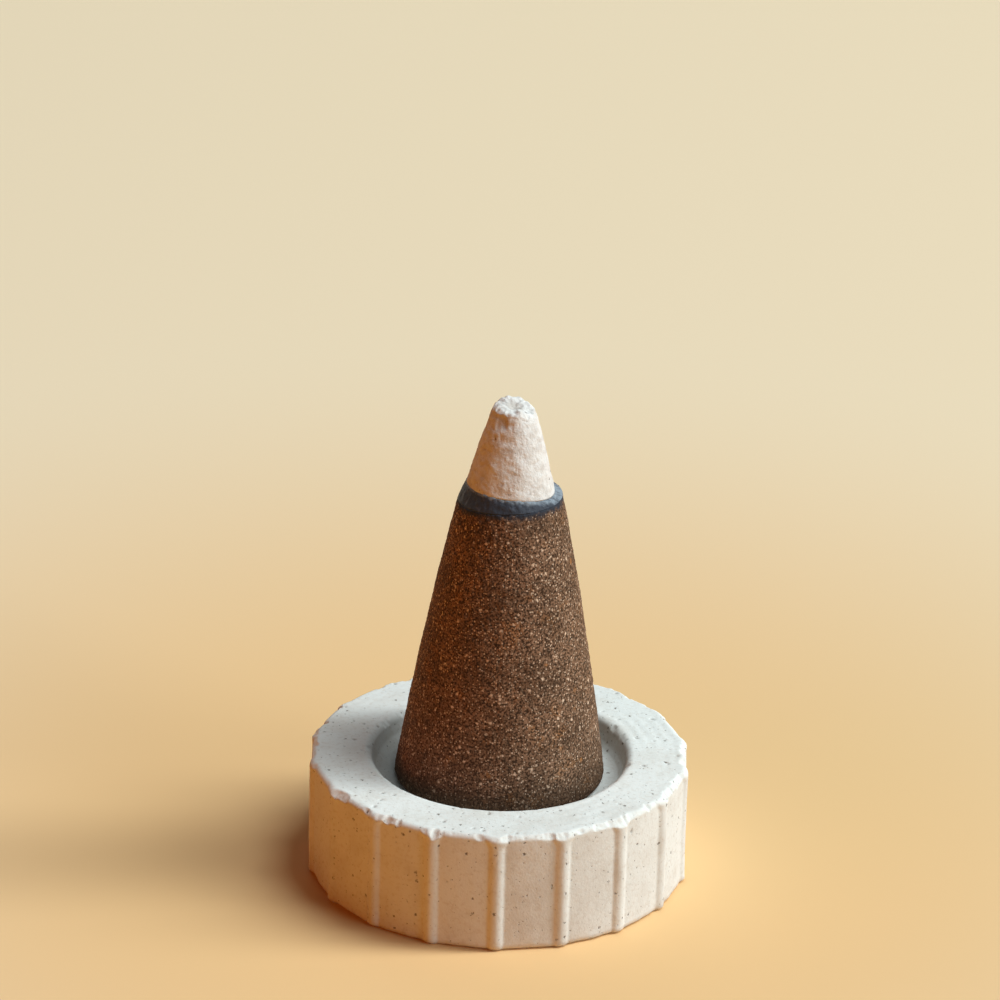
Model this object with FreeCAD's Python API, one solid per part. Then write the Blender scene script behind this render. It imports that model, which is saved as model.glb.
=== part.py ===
"""Incense burner: a ribbed cast dish with one smouldering incense cone standing in its recess.

Millimetres, +Z up, -Y towards the viewer. The origin is the centre of the dish's underside, on the table.
The recess is sized to the cone, the rim to the recess, and everything that stands on the recess floor
takes its height from that floor.
"""

import FreeCAD, Part
import math
import os

# Incense cone: unburnt body, charred band, glowing coal and the ash cap over it
CONE_BASE_DIAMETER = 15.0
CONE_FOOT_CHAMFER = 0.4  # edge that the cone stands on
CONE_SIDE_BULGE = 0.2  # how far the side stands out of a straight taper, at mid height
CONE_SIDE_STEPS = 4  # straight tapers that make up the bulging side
CHAR_LINE_HEIGHT = 21.85  # unburnt height above the cone's foot, on its axis
CHAR_LINE_DIAMETER = 7.35
CHAR_LINE_TILT = -3.4  # degrees about +Y: the char reaches lower on the -X side
CHAR_THICKNESS = 0.85  # on the axis
CHAR_TOP_DIAMETER = 6.4
BURN_TILT = 4.3  # degrees about +Y: the ash reaches lower on the +X side
EMBER_HEIGHT = 2.8  # above the burn front, on the axis
EMBER_GAP = 0.2  # air between the coal and the ash around it
ASH_LEDGE = 0.1  # char that shows round the foot of the ash
ASH_WALL = 0.7  # thickness of the ash round the coal, at its foot
ASH_HEIGHT = 5.9  # above the burn front, on the axis
ASH_TIP_DIAMETER = 3.0
ASH_TIP_CHAMFER = 0.35  # crumbled edge round the blunt tip
ASH_CRATER_RIM = 0.4  # flat between the crumbled edge and the hollow in the tip
ASH_CRATER_DEPTH = 0.25

# Dish
CONE_CLEARANCE = 1.4  # from the cone's foot to the recess wall, at the floor
RECESS_DRAFT = 0.2  # how far the recess wall leans out, from floor to lip
RECESS_DEPTH = 1.75  # from the rim to the recess floor
RECESS_COVE = 0.4  # slope between the recess wall and its floor
FLOOR_THICKNESS = 7.2  # from the table to the recess floor
RIM_WIDTH = 4.4  # from the recess opening to the outer wall
RIM_LIP_CHAMFER = 0.35
RIM_EDGE_RADIUS = 0.4
FOOT_CHAMFER = 0.15
RIB_COUNT = 18
RIB_WIDTH = 1.1  # where the rib meets the wall
RIB_HEIGHT = 0.25  # how far the rib stands out of the wall
RIB_TOP_CHAMFER = 0.15  # smaller than the rim's edge, so that each rib ends in a lobe at the rim

# Sizes that follow from those above
FLOOR_RADIUS = CONE_BASE_DIAMETER / 2 + CONE_CLEARANCE
OPENING_RADIUS = FLOOR_RADIUS + RECESS_DRAFT
WALL_RADIUS = OPENING_RADIUS + RIM_WIDTH
RIM_TOP = FLOOR_THICKNESS + RECESS_DEPTH
CHAR_LINE_Z = FLOOR_THICKNESS + CHAR_LINE_HEIGHT
BURN_Z = CHAR_LINE_Z + CHAR_THICKNESS
CHAR_TAPER = (CHAR_LINE_DIAMETER - CHAR_TOP_DIAMETER) / 2 / CHAR_THICKNESS
ASH_FOOT_RADIUS = CHAR_TOP_DIAMETER / 2 - ASH_LEDGE
ASH_TOP_Z = BURN_Z + ASH_HEIGHT
EMBER_RADIUS = ASH_FOOT_RADIUS - ASH_WALL - EMBER_GAP

FRONT_ANGLE = -90.0  # degrees about +Z: one rib faces the viewer
MID_ARC = math.sqrt(0.5)  # sine and cosine at the middle of a quarter circle

AXIS = FreeCAD.Vector(0, 0, 1)
TILT_AXIS = FreeCAD.Vector(0, 1, 0)
ORIGIN = FreeCAD.Vector(0, 0, 0)


class Profile:
    """An outline of (radius, height) points beside the Z axis, in the plane of +X, drawn edge by edge."""

    def __init__(self, radius, height):
        self.start = (radius, height)
        self.here = self.start
        self.edges = []

    def add(self, curve, end):
        self.edges.append(curve.toShape())
        self.here = end

    def line(self, radius, height):
        """A straight edge to a point."""
        end = (radius, height)
        self.add(Part.LineSegment(at(*self.here), at(*end)), end)

    def arc(self, middle, end):
        """A round edge through a middle point."""
        self.add(Part.Arc(at(*self.here), at(*middle), at(*end)), end)

    def quarter(self, centre, end):
        """A quarter circle about a centre."""
        middle = [c + MID_ARC * (h + e - 2 * c) for h, e, c in zip(self.here, end, centre)]
        self.arc(middle, end)

    def turned(self):
        """The solid that the outline makes, once closed, when it turns about the Z axis."""
        self.line(*self.start)
        return Part.Face(Part.Wire(self.edges)).revolve(ORIGIN, AXIS, 360)


def at(radius, height):
    """A point of an outline in space."""
    return FreeCAD.Vector(radius, 0, height)


def half_space(height, tilt, upwards):
    """A block of all that lies above, or else below, a plane tilted about +Y at a height on the axis."""
    reach = 2 * (WALL_RADIUS + ASH_TOP_Z)
    corner = FreeCAD.Vector(-reach, -reach, 0 if upwards else -reach)
    block = Part.makeBox(2 * reach, 2 * reach, reach, corner)
    block.rotate(ORIGIN, TILT_AXIS, tilt)
    block.translate(AXIS * height)
    return block


def single(shape):
    """The one solid that a boolean leaves."""
    solids = shape.removeSplitter().Solids
    if len(solids) != 1:
        raise ValueError(f"expected one solid, found {len(solids)}")
    return solids[0]


def make_dish_body():
    """The plain dish: a thick round slab with a flat rim, rounded over outside, and a shallow recess."""
    edge_inner = WALL_RADIUS - RIM_EDGE_RADIUS
    edge_low = RIM_TOP - RIM_EDGE_RADIUS

    outline = Profile(0, 0)
    outline.line(WALL_RADIUS - FOOT_CHAMFER, 0)
    outline.line(WALL_RADIUS, FOOT_CHAMFER)
    outline.line(WALL_RADIUS, edge_low)
    outline.quarter((edge_inner, edge_low), (edge_inner, RIM_TOP))
    outline.line(OPENING_RADIUS + RIM_LIP_CHAMFER, RIM_TOP)
    outline.line(OPENING_RADIUS, RIM_TOP - RIM_LIP_CHAMFER)
    outline.line(FLOOR_RADIUS, FLOOR_THICKNESS + RECESS_COVE)
    outline.line(FLOOR_RADIUS - RECESS_COVE, FLOOR_THICKNESS)
    outline.line(0, FLOOR_THICKNESS)
    return outline.turned()


def make_rib_sleeve():
    """The ring that the ribs are trimmed to, with their chamfered tops and feet."""
    crest = WALL_RADIUS + RIB_HEIGHT
    rim_middle = OPENING_RADIUS + RIM_WIDTH / 2

    outline = Profile(rim_middle, 0)
    outline.line(crest - FOOT_CHAMFER, 0)
    outline.line(crest, FOOT_CHAMFER)
    outline.line(crest, RIM_TOP - RIB_TOP_CHAMFER)
    outline.line(crest - RIB_TOP_CHAMFER, RIM_TOP)
    outline.line(rim_middle, RIM_TOP)
    return outline.turned()


def make_ribs():
    """Half-round ribs up the outer wall: evenly spaced rods sunk into it and trimmed to the sleeve."""
    rod_radius = (RIB_WIDTH**2 / 4 + RIB_HEIGHT**2) / (2 * RIB_HEIGHT)
    rod_circle = WALL_RADIUS + RIB_HEIGHT - rod_radius
    sleeve = make_rib_sleeve()
    ribs = []
    for index in range(RIB_COUNT):
        angle = math.radians(FRONT_ANGLE + index * 360 / RIB_COUNT)
        place = FreeCAD.Vector(math.cos(angle), math.sin(angle), 0) * rod_circle
        ribs.append(Part.makeCylinder(rod_radius, RIM_TOP, place).common(sleeve))
    return ribs


def make_dish():
    """The whole casting, ribs and all."""
    return single(make_dish_body().multiFuse(make_ribs()))


def make_burning_cone():
    """The incense that hasn't turned to ash, from its foot to a little above the burn front."""
    base_radius = CONE_BASE_DIAMETER / 2
    line_radius = CHAR_LINE_DIAMETER / 2
    foot_top = FLOOR_THICKNESS + CONE_FOOT_CHAMFER
    charred_height = CHAR_THICKNESS + line_radius * math.tan(math.radians(abs(BURN_TILT)))
    charred_top = CHAR_LINE_Z + charred_height

    outline = Profile(0, FLOOR_THICKNESS)
    outline.line(base_radius - CONE_FOOT_CHAMFER, FLOOR_THICKNESS)
    outline.line(base_radius, foot_top)
    for step in range(1, CONE_SIDE_STEPS + 1):
        share = step / CONE_SIDE_STEPS
        taper = base_radius + share * (line_radius - base_radius)
        bulge = 4 * CONE_SIDE_BULGE * share * (1 - share)
        outline.line(taper + bulge, foot_top + share * (CHAR_LINE_Z - foot_top))
    outline.line(line_radius - CHAR_TAPER * charred_height, charred_top)
    outline.line(0, charred_top)
    return outline.turned()


def make_cone_body():
    """The unburnt incense, up to the slanted line where it starts to char."""
    return single(make_burning_cone().common(half_space(CHAR_LINE_Z, CHAR_LINE_TILT, upwards=False)))


def make_char_band():
    """The charred slice between the unburnt incense and the burn front."""
    charred = make_burning_cone().common(half_space(CHAR_LINE_Z, CHAR_LINE_TILT, upwards=True))
    return single(charred.common(half_space(BURN_Z, BURN_TILT, upwards=False)))


def make_coal(gap):
    """The coal above the burn front, tapered as the ash is and round on top, grown by a gap all round."""
    slope = math.atan2(ASH_FOOT_RADIUS - ASH_TIP_DIAMETER / 2, ASH_HEIGHT)
    foot_radius = EMBER_RADIUS + gap / math.cos(slope)
    top = BURN_Z + EMBER_HEIGHT + gap
    round_radius = foot_radius - (top - BURN_Z) * math.tan(slope)
    round_radius /= 1 / math.cos(slope) - math.tan(slope)
    round_centre = top - round_radius
    seam = (round_radius * math.cos(slope), round_centre + round_radius * math.sin(slope))
    half_turn = (math.pi / 2 + slope) / 2
    crest = (round_radius * math.cos(half_turn), round_centre + round_radius * math.sin(half_turn))
    sunk = BURN_Z - EMBER_RADIUS

    outline = Profile(0, sunk)
    outline.line(foot_radius + EMBER_RADIUS * math.tan(slope), sunk)
    outline.line(*seam)
    outline.arc(crest, (0, top))
    return outline.turned().common(half_space(BURN_Z, BURN_TILT, upwards=True))


def make_ember():
    """The glowing coal, standing on the char."""
    return single(make_coal(0))


def make_ash_tip():
    """The ash cap: a tapered shell over the coal, blunt and crumbled at the top."""
    tip_radius = ASH_TIP_DIAMETER / 2
    tip_low = ASH_TOP_Z - ASH_TIP_CHAMFER
    tip_inner = tip_radius - ASH_TIP_CHAMFER
    sunk = BURN_Z - ASH_FOOT_RADIUS

    outline = Profile(0, sunk)
    outline.line(ASH_FOOT_RADIUS, sunk)
    outline.line(ASH_FOOT_RADIUS, BURN_Z)
    outline.line(tip_radius, tip_low)
    outline.line(tip_inner, ASH_TOP_Z)
    outline.line(tip_inner - ASH_CRATER_RIM, ASH_TOP_Z)
    outline.line(0, ASH_TOP_Z - ASH_CRATER_DEPTH)
    cap = outline.turned().common(half_space(BURN_Z, BURN_TILT, upwards=True))
    return single(cap.cut(make_coal(EMBER_GAP)))


PIECES = {
    "dish": make_dish,
    "cone_body": make_cone_body,
    "char_band": make_char_band,
    "ember": make_ember,
    "ash_tip": make_ash_tip,
}


def main():
    os.makedirs("parts", exist_ok=True)
    for name, make in PIECES.items():
        solid = make()
        solid.exportStep(os.path.join("parts", name + ".step"))
        box = solid.optimalBoundingBox()
        sides = f"{box.XLength:.2f} x {box.YLength:.2f} x {box.ZLength:.2f} mm"
        print(f"{name}: {sides}, z {box.ZMin:.2f} to {box.ZMax:.2f}, {solid.Volume:.1f} mm3")


main()
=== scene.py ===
"""Looks of an incense burner: a ribbed cast dish with a smouldering incense cone standing in its recess.

Metres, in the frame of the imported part: +Z up, -Y towards the viewer, origin under the middle of the dish.
Each piece is an outline turned about the Z axis and then roughened, vertex by vertex, with seeded noise.
"""

import math
import random

import bmesh
import bpy
from bpy.props import FloatProperty, FloatVectorProperty, IntProperty, PointerProperty
from mathutils import Matrix, Vector, kdtree, noise


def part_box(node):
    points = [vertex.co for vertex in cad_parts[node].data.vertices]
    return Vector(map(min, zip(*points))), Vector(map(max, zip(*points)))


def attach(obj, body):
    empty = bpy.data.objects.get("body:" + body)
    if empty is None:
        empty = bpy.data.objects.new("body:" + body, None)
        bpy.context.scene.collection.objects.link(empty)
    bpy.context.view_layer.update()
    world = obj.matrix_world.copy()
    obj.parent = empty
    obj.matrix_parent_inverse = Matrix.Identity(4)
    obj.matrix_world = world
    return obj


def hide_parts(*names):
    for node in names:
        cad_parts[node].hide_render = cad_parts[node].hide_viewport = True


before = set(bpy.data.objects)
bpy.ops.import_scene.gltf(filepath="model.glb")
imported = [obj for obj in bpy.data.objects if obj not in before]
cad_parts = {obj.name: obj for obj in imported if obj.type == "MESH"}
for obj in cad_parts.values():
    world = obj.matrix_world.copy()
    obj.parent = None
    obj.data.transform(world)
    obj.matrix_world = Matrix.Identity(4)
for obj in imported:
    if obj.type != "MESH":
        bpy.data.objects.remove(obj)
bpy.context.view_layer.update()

bl_info = {
    "name": "Incense Burner",
    "version": (1, 0, 0),
    "blender": (4, 5, 0),
    "location": "3D View > Sidebar > Burner",
    "description": "Dresses the packed incense burner: ribbed dish, incense cone, char, coal and ash",
    "category": "Add Mesh",
}

MM = 0.001

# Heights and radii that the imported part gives
_, DISH_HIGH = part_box("dish")
CONE_LOW, CONE_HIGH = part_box("cone_body")
CHAR_LOW, CHAR_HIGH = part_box("char_band")
_, EMBER_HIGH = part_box("ember")
ASH_LOW, ASH_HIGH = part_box("ash_tip")
CREST_RADIUS = DISH_HIGH.y
RIM_TOP = DISH_HIGH.z
FLOOR_TOP = CONE_LOW.z
CHAR_LINE = (CHAR_LOW.z + CONE_HIGH.z) / 2
CHAR_LINE_SLOPE = (CONE_HIGH.z - CHAR_LOW.z) / (CHAR_HIGH.x - CHAR_LOW.x)
BURN_FRONT = (ASH_LOW.z + CHAR_HIGH.z) / 2
BURN_CREEP = 1.4  # how much further the burn front has crept down on the low side
BURN_SLOPE = BURN_CREEP * (ASH_LOW.z - CHAR_HIGH.z) / (ASH_HIGH.x - ASH_LOW.x)
CHAR_SAG = 0.12 * MM  # how much lower the char line lies at the sides than at the front
BURN_SAG = 0.22 * MM  # the same for the burn front
CHAR_BEND = CHAR_SAG / CHAR_HIGH.y**2
BURN_BEND = BURN_SAG / ASH_HIGH.y**2

FRONT = -math.pi / 2  # angle about +Z of the rib that faces the viewer
MERGE_REACH = 0.001 * MM


class DishSettings(bpy.types.PropertyGroup):
    """Sizes and colours of the cast dish."""

    rib_count: IntProperty(name="Ribs", description="Ribs round the wall", default=18, min=3)
    rib_width: FloatProperty(
        name="Rib width", description="Where a rib meets the wall",
        default=1.1 * MM, unit="LENGTH",
    )
    rib_height: FloatProperty(
        name="Rib height", description="How far a rib stands out of the wall",
        default=0.25 * MM, unit="LENGTH",
    )
    opening_radius: FloatProperty(
        name="Opening radius", description="Radius of the recess at the rim",
        default=9.1 * MM, unit="LENGTH",
    )
    edge_round: FloatProperty(
        name="Edge rounding", description="Rounding of the rim's outer edge",
        default=0.4 * MM, unit="LENGTH",
    )
    lip_round: FloatProperty(
        name="Lip rounding", description="Rounding of the rim's inner edge",
        default=0.55 * MM, unit="LENGTH",
    )
    chip_depth: FloatProperty(
        name="Chip depth", description="Depth of the chips in the rim's edges",
        default=0.22 * MM, unit="LENGTH",
    )
    pit_count: IntProperty(name="Pits", description="Air holes in the cast surface", default=70, min=0)
    colour: FloatVectorProperty(
        name="Colour", description="Cast stone",
        default=(0.82, 0.845, 0.82), subtype="COLOR", min=0, max=1,
    )
    stain: FloatVectorProperty(
        name="Stain", description="Darker mottling",
        default=(0.66, 0.63, 0.57), subtype="COLOR", min=0, max=1,
    )
    # Dark grains, and the colour of the painted shade in the air holes
    speck_and_pit_shade: FloatVectorProperty(
        name="Specks", description="Dark grains and pits",
        default=(0.1, 0.07, 0.05), subtype="COLOR", min=0, max=1,
    )


class ConeSettings(bpy.types.PropertyGroup):
    """Sizes and colours of the unburnt incense and its char."""

    bulge: FloatProperty(
        name="Bulge", description="How far the side stands out of a straight taper",
        default=0.2 * MM, unit="LENGTH",
    )
    foot_round: FloatProperty(
        name="Foot rounding", description="Rounding of the edge it stands on",
        default=0.4 * MM, unit="LENGTH",
    )
    grain_height: FloatProperty(
        name="Grain", description="Height of the pressed grains",
        default=0.045 * MM, unit="LENGTH",
    )
    colour: FloatVectorProperty(
        name="Colour", description="Pressed incense",
        default=(0.24, 0.142, 0.088), subtype="COLOR", min=0, max=1,
    )
    fleck: FloatVectorProperty(
        name="Flecks", description="Pale wood grains",
        default=(0.9, 0.68, 0.5), subtype="COLOR", min=0, max=1,
    )
    bark: FloatVectorProperty(
        name="Bark", description="Orange bark grains",
        default=(0.42, 0.19, 0.07), subtype="COLOR", min=0, max=1,
    )
    char_colour: FloatVectorProperty(
        name="Char", description="Charred band",
        default=(0.038, 0.045, 0.06), subtype="COLOR", min=0, max=1,
    )
    # Ash dust on the char, tinted blue-grey as a painted sheen where the char meets the ash
    dust_and_sheen: FloatVectorProperty(
        name="Dust", description="Ash dust on the char",
        default=(0.38, 0.45, 0.52), subtype="COLOR", min=0, max=1,
    )


class AshSettings(bpy.types.PropertyGroup):
    """Sizes and colours of the coal and the ash over it."""

    tip_radius: FloatProperty(
        name="Tip radius", description="Radius of the blunt tip",
        default=1.5 * MM, unit="LENGTH",
    )
    bulge: FloatProperty(
        name="Bulge", description="How far the side stands out at mid height",
        default=0.07 * MM, unit="LENGTH",
    )
    wall: FloatProperty(
        name="Wall", description="Thickness of the ash round the coal",
        default=0.7 * MM, unit="LENGTH",
    )
    lump_height: FloatProperty(
        name="Lumps", description="Height of the lumps in the ash",
        default=0.06 * MM, unit="LENGTH",
    )
    colour: FloatVectorProperty(
        name="Colour", description="Ash",
        default=(0.77, 0.76, 0.74), subtype="COLOR", min=0, max=1,
    )
    # Browner ash in patches, the coal's crust, and the painted shade in the ash's cracks, bite and crater
    shade: FloatVectorProperty(
        name="Shade", description="Ash in its cracks",
        default=(0.48, 0.42, 0.37), subtype="COLOR", min=0, max=1,
    )
    coal: FloatVectorProperty(
        name="Coal", description="Crust of the coal",
        default=(0.05, 0.03, 0.025), subtype="COLOR", min=0, max=1,
    )
    glow: FloatVectorProperty(
        name="Glow", description="Light from the coal's cracks",
        default=(1.0, 0.22, 0.03), subtype="COLOR", min=0, max=1,
    )


class StageSettings(bpy.types.PropertyGroup):
    """Floor, lights and camera."""

    floor_colour: FloatVectorProperty(
        name="Floor", description="Floor beside the part",
        default=(0.84, 0.56, 0.28), subtype="COLOR", min=0, max=1,
    )
    floor_far: FloatVectorProperty(
        name="Far floor", description="Paler floor further off",
        default=(0.86, 0.71, 0.5), subtype="COLOR", min=0, max=1,
    )
    floor_bounce: FloatVectorProperty(
        name="Bounce", description="Floor as it lights the part",
        default=(0.62, 0.3, 0.08), subtype="COLOR", min=0, max=1,
    )
    key_power: FloatProperty(
        name="Key light", description="Power of the tall soft light on the right",
        default=84.5, unit="POWER",
    )
    side_power: FloatProperty(
        name="Side light", description="Power of the broad light at the front right",
        default=2.15, unit="POWER",
    )
    back_power: FloatProperty(
        name="Back light", description="Power of the cool light behind the part",
        default=0.25, unit="POWER",
    )
    fill_power: FloatProperty(
        name="Warm fill", description="Power of the low warm light on the left",
        default=0.2, unit="POWER",
    )
    sky: FloatProperty(name="Sky", description="Strength of the light all round", default=0.01, min=0)
    focal_length: FloatProperty(
        name="Focal length", description="Lens, in millimetres on a 36 mm sensor",
        default=189.5, min=1,
    )


class Outline:
    """Points of (radius, height) beside the Z axis, in order and close enough together to be roughened."""

    def __init__(self, radius, height):
        self.points = [(radius, height)]

    def line(self, radius, height, steps=1, bulge=0.0):
        """A run to a point, straight or standing out by a bulge half way."""
        r, z = self.points[-1]
        for step in range(1, steps + 1):
            share = step / steps
            out = 4 * bulge * share * (1 - share)
            self.points.append((r + share * (radius - r) + out, z + share * (height - z)))

    def curve(self, corner, end, steps):
        """A round run to an end, tangent to the lines through a corner."""
        start = self.points[-1]
        for step in range(1, steps + 1):
            turn = step / steps * math.pi / 2
            near, far = 1 - math.sin(turn), 1 - math.cos(turn)
            self.points.append(
                tuple(c + near * (s - c) + far * (e - c) for s, c, e in zip(start, corner, end))
            )


def smooth(low, high, value):
    """0 at low, 1 at high and an even S curve between them."""
    share = min(max((value - low) / (high - low), 0.0), 1.0)
    return share * share * (3 - 2 * share)


def lumps(point, size, pattern):
    """Noise from about -1 to 1, with lumps of a size. Another number of the pattern is another noise."""
    return noise.noise(Vector((point.x / size + pattern, point.y / size, point.z / size - pattern)))


def relief(point, layers):
    """Layers of noise added up, each of them a height, the size of its lumps and its pattern."""
    return sum(height * lumps(point, size, pattern) for height, size, pattern in layers)


def scaled(colour, factor):
    """A colour made darker or lighter."""
    return [channel * factor for channel in colour]


def spun(points, sectors, steps, shifts=None):
    """A closed bmesh of an outline turned about the Z axis, from the front, in sectors of a few steps each.

    A sector is turned once and repeated, which is quick, and each vertex carries its outline point's shift.
    """
    bm = bmesh.new()
    out = bm.verts.layers.float.new("out")
    up = bm.verts.layers.float.new("up")
    verts = [bm.verts.new((r * math.cos(FRONT), r * math.sin(FRONT), z)) for r, z in points]
    for vert, (shift_out, shift_up) in zip(verts, shifts or []):
        vert[out] = shift_out
        vert[up] = shift_up
    edges = [bm.edges.new(pair) for pair in zip(verts, verts[1:])]
    sector = math.tau / sectors
    turn = {"cent": (0, 0, 0), "axis": (0, 0, 1)}
    bmesh.ops.spin(bm, geom=verts + edges, angle=sector, steps=steps, **turn)
    whole = bm.verts[:] + bm.edges[:] + bm.faces[:]
    bmesh.ops.spin(bm, geom=whole, angle=math.tau - sector, steps=sectors - 1, use_duplicate=True, **turn)
    bmesh.ops.remove_doubles(bm, verts=bm.verts, dist=MERGE_REACH)
    bmesh.ops.recalc_face_normals(bm, faces=bm.faces)
    bm.normal_update()
    return bm


def place_piece(bm, name, material, body, node):
    """Makes a bmesh a piece of the part that stands for a CAD node and rides on its body."""
    mesh = bpy.data.meshes.new(name)
    bm.to_mesh(mesh)
    bm.free()
    mesh.materials.append(material)
    mesh.shade_smooth()
    piece = bpy.data.objects.new(name, mesh)
    bpy.context.scene.collection.objects.link(piece)
    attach(piece, body)
    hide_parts(node)


GRAIN_RAGS = 3.0  # bumps in a grain's outline, per cell
GRAIN_RAG_DETAIL = 2.0
GRAIN_SHIFT = 0.7  # how far they stand out, in cells
GRAIN_EDGE = (1.4, 0.3)  # where a grain's soft edge begins and ends, in its radii


class Finish:
    """A procedural material on a piece's own coordinates, its nodes added one by one."""

    def __init__(self, name, roughness, gloss):
        self.material = bpy.data.materials.new(name)
        self.material.use_nodes = True
        self.tree = self.material.node_tree
        self.shader = self.tree.nodes["Principled BSDF"]
        self.shader.inputs["Roughness"].default_value = roughness
        self.shader.inputs["Specular IOR Level"].default_value = gloss
        self.place = self.tree.nodes.new("ShaderNodeTexCoord").outputs["Object"]

    def feed(self, socket, value):
        """Links a socket to another, or gives it a value."""
        if isinstance(value, bpy.types.NodeSocket):
            self.tree.links.new(value, socket)
        elif socket.type == "RGBA":
            socket.default_value = (*value, 1.0)
        else:
            socket.default_value = value

    def node(self, kind, settings, inputs):
        """A node with its settings and its fed sockets, named or numbered."""
        node = self.tree.nodes.new(kind)
        for name, value in settings.items():
            setattr(node, name, value)
        for key, value in inputs.items():
            self.feed(node.inputs[key], value)
        return node

    def axes(self):
        """The place on the piece as X, Y and Z."""
        return self.node("ShaderNodeSeparateXYZ", {}, {"Vector": self.place}).outputs

    def maths(self, operation, *values):
        """A calculation with numbers or sockets."""
        inputs = dict(enumerate(values))
        return self.node("ShaderNodeMath", {"operation": operation}, inputs).outputs["Value"]

    def step(self, value, low, high):
        """0 where a value is at low, 1 where it is at high, smooth between them."""
        settings = {"interpolation_type": "SMOOTHSTEP"}
        inputs = {"Value": value, "From Min": low, "From Max": high}
        return self.node("ShaderNodeMapRange", settings, inputs).outputs["Result"]

    def cloud(self, size, detail):
        """Soft noise from 0 to 1 with patches of a size."""
        inputs = {"Vector": self.place, "Scale": 1 / size, "Detail": detail}
        return self.node("ShaderNodeTexNoise", {}, inputs).outputs["Fac"]

    def patches(self, size, detail, low, high):
        """Patches of a size: 0 where a cloud is at low, 1 where it is at high."""
        return self.step(self.cloud(size, detail), low, high)

    def ragged(self, height, rags, size, detail):
        """A height made uneven by rags of a size."""
        return self.maths("MULTIPLY_ADD", self.cloud(size, detail), rags, height)

    def grains(self, size, share, least, most):
        """Scattered ragged grains: 1 inside one.

        A share of the cells of a size holds a grain, with a radius from least to most, in cells.
        """
        rags = {"Vector": self.place, "Scale": GRAIN_RAGS / size, "Detail": GRAIN_RAG_DETAIL}
        shift = self.node("ShaderNodeTexNoise", {}, rags).outputs["Color"]
        inputs = {0: shift, 1: (GRAIN_SHIFT * size,) * 3, 2: self.place}
        place = self.node("ShaderNodeVectorMath", {"operation": "MULTIPLY_ADD"}, inputs).outputs["Vector"]
        cell = self.node("ShaderNodeTexVoronoi", {}, {"Vector": place, "Scale": 1 / size}).outputs
        chance = self.node("ShaderNodeSeparateColor", {}, {"Color": cell["Color"]}).outputs
        radius = self.maths("MULTIPLY_ADD", chance["Green"], most - least, least)
        inside = self.step(self.maths("DIVIDE", cell["Distance"], radius), *GRAIN_EDGE)
        return self.maths("MULTIPLY", inside, self.maths("LESS_THAN", chance["Red"], share))

    def blend(self, share, first, second):
        """A colour between two."""
        node = self.tree.nodes.new("ShaderNodeMix")
        node.data_type = "RGBA"
        sockets = [s for s in node.inputs if s.enabled]
        for socket, value in zip(sockets, (share, first, second)):
            self.feed(socket, value)
        return next(s for s in node.outputs if s.enabled)

    def tint(self, colour, share, strength, other):
        """A colour that turns to another where a share is 1, as far as a strength says."""
        return self.blend(self.maths("MULTIPLY", share, strength), colour, other)

    def attribute(self, name):
        """A number that the piece's own points carry."""
        return self.node("ShaderNodeAttribute", {"attribute_name": name}, {}).outputs["Fac"]

    def bump(self, height, distance, strength):
        """Fine relief in the surface."""
        inputs = {"Height": height, "Distance": distance, "Strength": strength}
        self.feed(self.shader.inputs["Normal"], self.node("ShaderNodeBump", {}, inputs).outputs["Normal"])

    def paint(self, colour):
        """The surface's colour."""
        self.feed(self.shader.inputs["Base Color"], colour)


# Dish

DISH_STEPS = 46  # per rib
PANEL_FLATNESS = 0.07 * MM  # how far the wall between two ribs is drawn in from a circle
RIB_ROUND = 0.5 * MM
RIB_FLARE = 0.7  # how much wider a rib gets at the rim
RIB_FLARE_HEIGHT = 1.0 * MM
RIB_WEAR = 0.15  # share of a rib's height that is worn off on the whole, here more and there less
RIB_WEAR_LENGTH = 2.5 * MM
RIB_WEAR_PATTERN = (3.7, 0.5)  # step through the noise from one rib to the next, and the noise's plane
FOOT_CHAMFER = 0.22 * MM
COVE = 0.4 * MM
RECESS_DRAFT = 0.2 * MM
TOP_SIDE = FLOOR_TOP - 1.0 * MM  # what lies higher, and inside the wall, is the dish's upper side
RIM_DEPTH = 0.3 * MM  # how far down the rim's own unevenness reaches

# Wear of the dish's edges, with the noise at which a chip begins and at which it is at its deepest
EDGE_WEAR = 0.2 * MM
EDGE_RAGS = 0.07 * MM
RAG_LENGTH = 0.35 * MM
CHIP_LENGTH = 1.7 * MM
CHIP_NOISE = (0.0, 0.12)
SMALL_CHIP_LENGTH = 0.7 * MM
SMALL_CHIP_NOISE = (0.1, 0.2)
SMALL_CHIP_DEPTH = 0.6  # of a large chip's
LIP_WEAR = 0.85  # of the outer edge's
EDGE_PATTERN = 2.0
LIP_PATTERN = 13.0

# Unevenness of the dish: heights, sizes and patterns of the lumps
WALL_LUMPS = ((0.035 * MM, 3.5 * MM, 0.0), (0.012 * MM, 0.6 * MM, 5.0))
WALL_LUMPS_BEGIN = 1.2 * MM  # how far inside the wall
WALL_LUMPS_FULL = 0.2 * MM
RIM_LUMPS = ((0.03 * MM, 2.2 * MM, 21.0),)
TOP_LUMPS = ((0.012 * MM, 0.5 * MM, 23.0),)
FOOT_LUMPS = ((0.08 * MM, 0.9 * MM, 27.0),)
FOOT_LUMPS_TOP = 0.8 * MM
RIPPLE = 0.8 * MM  # from one faint ring on the rim to the next
RIPPLE_HEIGHT = 0.009 * MM
RIPPLE_WAVER = ((2.0, 5.0 * MM, 25.0),)  # in radians
RIPPLE_PATCHES = (8.0 * MM, 29.0)
RIPPLE_NOISE = (-0.2, 0.3)  # where the rings begin to show, and show in full

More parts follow.
